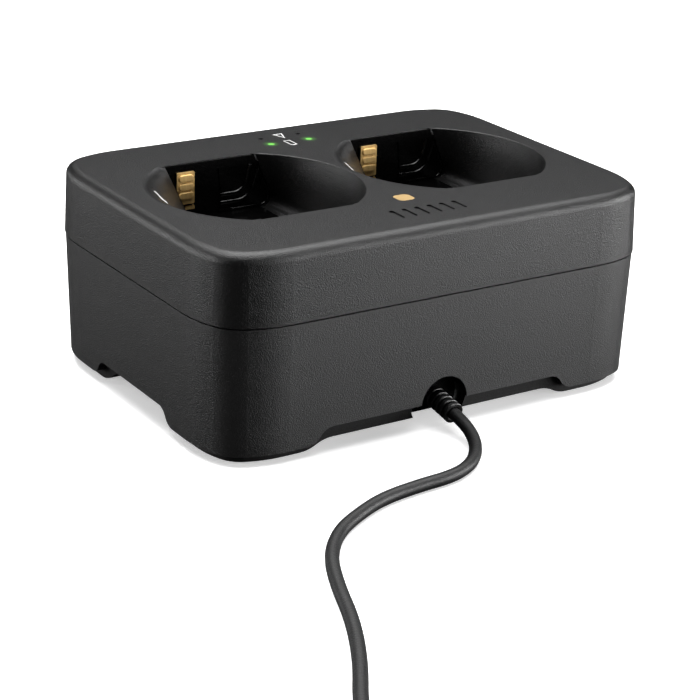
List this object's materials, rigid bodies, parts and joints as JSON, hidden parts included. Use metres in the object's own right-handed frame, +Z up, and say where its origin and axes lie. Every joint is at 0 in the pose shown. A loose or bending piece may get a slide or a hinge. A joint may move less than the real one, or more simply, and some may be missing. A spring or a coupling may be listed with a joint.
{
  "type": "two-bay battery charging dock",
  "caption": "Charging dock with slanted battery bays, sprung contacts, status lights and a captive cable that ends in a plug.",
  "frame": {"origin": "on the table, under the middle of the housing", "axes": "+Z up, +X along the housing's long side, +Y towards the rear face where the cable leaves"},
  "size_m": [0.2728, 0.2674, 0.0579],
  "materials": {
    "housing_plastic": "dark grey, fine matte grain",
    "liner_plastic": "dark grey, satin",
    "base_plastic": "near-black, matte",
    "foot_rubber": "matte",
    "screw_steel": "plain",
    "contact_gold": "satin gold plate",
    "carrier_plastic": "black moulding",
    "spring_steel": "bright wire",
    "board_laminate": "green solder mask",
    "chip_epoxy": "black epoxy",
    "inductor_ferrite": "sintered grey",
    "capacitor_can": "bare",
    "connector_nylon": "natural nylon",
    "lens_charge": "clear green, lit",
    "lens_fault": "dark, unlit",
    "emitter_epoxy": "clear epoxy",
    "wire_insulation": "satin",
    "badge_gold": "brushed, gold toned",
    "relief_rubber": "satin",
    "cord_jacket": "satin thermoplastic rubber",
    "tie_fabric": "woven hook tape",
    "plug_plastic": "satin",
    "plug_steel": "nickel plated",
    "plug_insulator": "white nylon",
    "plug_gold": "gold plate"
  },
  "bodies": {
    "dock": {"upper_housing": "housing_plastic", "lower_housing": "housing_plastic", "base_plate": "base_plastic", "rubber_feet": "foot_rubber", "base_screws": "screw_steel", "liner_screws": "screw_steel", "main_board": "board_laminate", "board_screws": "screw_steel", "charger_chips": "chip_epoxy", "power_inductors": "inductor_ferrite", "capacitors": "capacitor_can", "cable_header": "connector_nylon", "cable_housing": "connector_nylon", "light_board": "board_laminate", "light_board_screws": "screw_steel", "light_emitters": "emitter_epoxy", "charge_lenses": "lens_charge", "fault_lenses": "lens_fault", "light_harness": "wire_insulation", "bay_harness": "wire_insulation", "badge_inlay": "badge_gold", "strain_relief": "relief_rubber", "inner_cable": "cord_jacket", "cable_clamp": "base_plastic", "clamp_screws": "screw_steel", "cord_run": "cord_jacket", "cord_coil": "cord_jacket", "coil_tie": "tie_fabric", "cord_tail": "cord_jacket", "plug_body": "plug_plastic", "plug_shell": "plug_steel", "plug_insulator": "plug_insulator", "plug_contacts": "plug_gold", "left_bay_liner": "liner_plastic", "left_contact_spring": "spring_steel", "left_spring_bracket": "carrier_plastic", "right_bay_liner": "liner_plastic", "right_contact_spring": "spring_steel", "right_spring_bracket": "carrier_plastic"},
    "left_contact": {"left_contact_strip": "contact_gold", "left_contact_carrier": "carrier_plastic"},
    "right_contact": {"right_contact_strip": "contact_gold", "right_contact_carrier": "carrier_plastic"}
  },
  "joints": [
    {"name": "left_contact_press", "type": "slide", "parent": "dock", "child": "left_contact", "axis": [0, -1, 0], "range_m": [0, 0.0008], "stiffness_N_per_m": 400, "springref_m": -0.0015, "deforming": ["left_contact_spring"]},
    {"name": "right_contact_press", "type": "slide", "parent": "dock", "child": "right_contact", "axis": [0, -1, 0], "range_m": [0, 0.0008], "stiffness_N_per_m": 400, "springref_m": -0.0015, "deforming": ["right_contact_spring"]}
  ]
}
